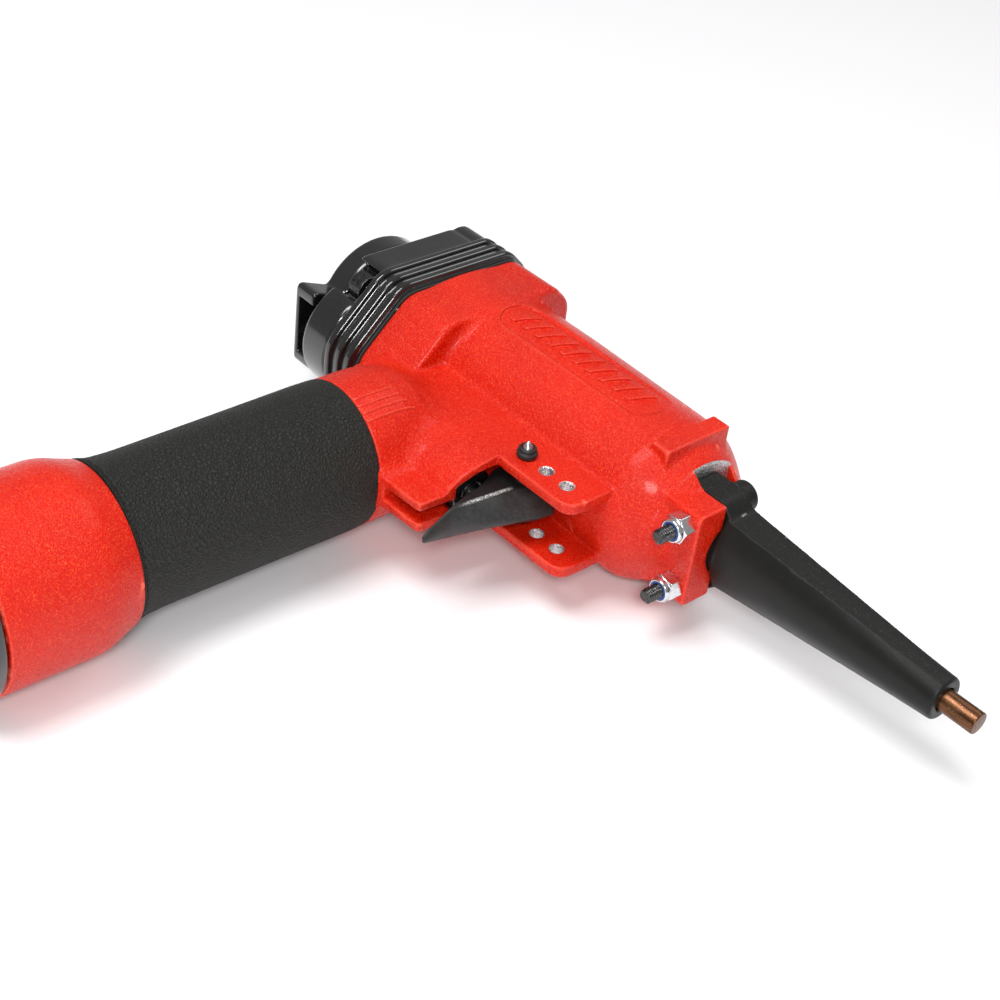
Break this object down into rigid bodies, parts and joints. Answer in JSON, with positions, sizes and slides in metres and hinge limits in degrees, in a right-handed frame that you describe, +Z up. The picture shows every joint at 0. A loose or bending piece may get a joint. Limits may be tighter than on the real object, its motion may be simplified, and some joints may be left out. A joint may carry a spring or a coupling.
{
  "type": "pneumatic punch nailer",
  "caption": "Hand-held air-powered punch nailer with an L-shaped body, long tapered nose, lever trigger and turning exhaust deflector.",
  "frame": {"origin": "on the bench, under the middle of the tool's bounding box as the tool lies on its side", "axes": "+X along the drive axis towards the punch tip, -Y down the handle to the air inlet, +Z up from the bench through the tool's side"},
  "size_m": [0.2242, 0.2058, 0.0492],
  "materials": {
    "red_paint": "textured red enamel, semi-gloss",
    "grip_rubber": "pebbled matte black",
    "gloss_black": "polished black",
    "seal_rubber": "smooth matte",
    "brass": "turned",
    "steel": "satin",
    "black_steel": "black oxide, worn bright at the edges",
    "gasket_paper": "matte",
    "aluminium": "machined",
    "punch_steel": "copper-brown, polished",
    "nose_casting": "satin black coating",
    "zinc_plate": "bright zinc",
    "blue_nylon": "matte blue"
  },
  "bodies": {
    "housing": {"body_housing": "red_paint", "grip_sleeve": "grip_rubber", "handle_end_cap": "gloss_black", "head_cap": "gloss_black", "trigger_valve_body": "gloss_black", "end_cap_o_ring": "seal_rubber", "sleeve_o_ring": "seal_rubber", "bumper": "seal_rubber", "trigger_valve_o_ring_1": "seal_rubber", "trigger_valve_o_ring_2": "seal_rubber", "trigger_pin_ring_upper": "seal_rubber", "trigger_pin_ring_lower": "seal_rubber", "air_inlet": "brass", "inlet_filter": "steel", "head_valve_spring": "steel", "trigger_pin": "steel", "trigger_valve_spring": "steel", "end_cap_screw_1": "black_steel", "end_cap_screw_2": "black_steel", "end_cap_screw_3": "black_steel", "cap_screw_1": "black_steel", "cap_screw_2": "black_steel", "cap_screw_3": "black_steel", "cap_screw_4": "black_steel", "deflector_screw": "black_steel", "nose_bolt_upper": "black_steel", "nose_bolt_lower": "black_steel", "head_gasket": "gasket_paper", "cylinder_sleeve": "aluminium", "nose_piece": "nose_casting", "nose_nut_upper": "zinc_plate", "nose_nut_lower": "zinc_plate", "nose_nut_insert_upper": "blue_nylon", "nose_nut_insert_lower": "blue_nylon"},
    "trigger_lever": {"trigger": "black_steel"},
    "valve_stem": {"trigger_valve_stem": "steel"},
    "driver": {"piston": "aluminium", "piston_o_ring": "seal_rubber", "driver_punch": "punch_steel"},
    "head_valve_body": {"head_valve": "aluminium", "head_valve_seal": "seal_rubber", "head_valve_o_ring": "seal_rubber"},
    "deflector": {"exhaust_deflector": "gloss_black"}
  },
  "joints": [
    {"name": "trigger_pull", "type": "hinge", "parent": "housing", "child": "trigger_lever", "pos_m": [-0.01215, 0.04485, 0.0246], "axis": [0, 0, -1], "range_deg": [0, 7], "stiffness_Nm_per_rad": 0.12, "springref_deg": -11.46},
    {"name": "valve_stem_push", "type": "slide", "parent": "housing", "child": "valve_stem", "axis": [-1, 0, 0], "range_m": [0, 0.0014], "deforming": ["trigger_valve_spring"]},
    {"name": "driver_stroke", "type": "slide", "parent": "housing", "child": "driver", "axis": [1, 0, 0], "range_m": [0, 0.056]},
    {"name": "head_valve_lift", "type": "slide", "parent": "housing", "child": "head_valve_body", "axis": [-1, 0, 0], "range_m": [0, 0.004], "stiffness_N_per_m": 300, "springref_m": -0.01, "deforming": ["head_valve_spring"]},
    {"name": "deflector_turn", "type": "hinge", "parent": "housing", "child": "deflector", "pos_m": [-0.10655, 0.07255, 0.0246], "axis": [1, 0, 0], "continuous": true}
  ],
  "couplings": [
    {"joint": "valve_stem_push", "follows": "trigger_pull", "m_per_rad": 0.0113}
  ]
}
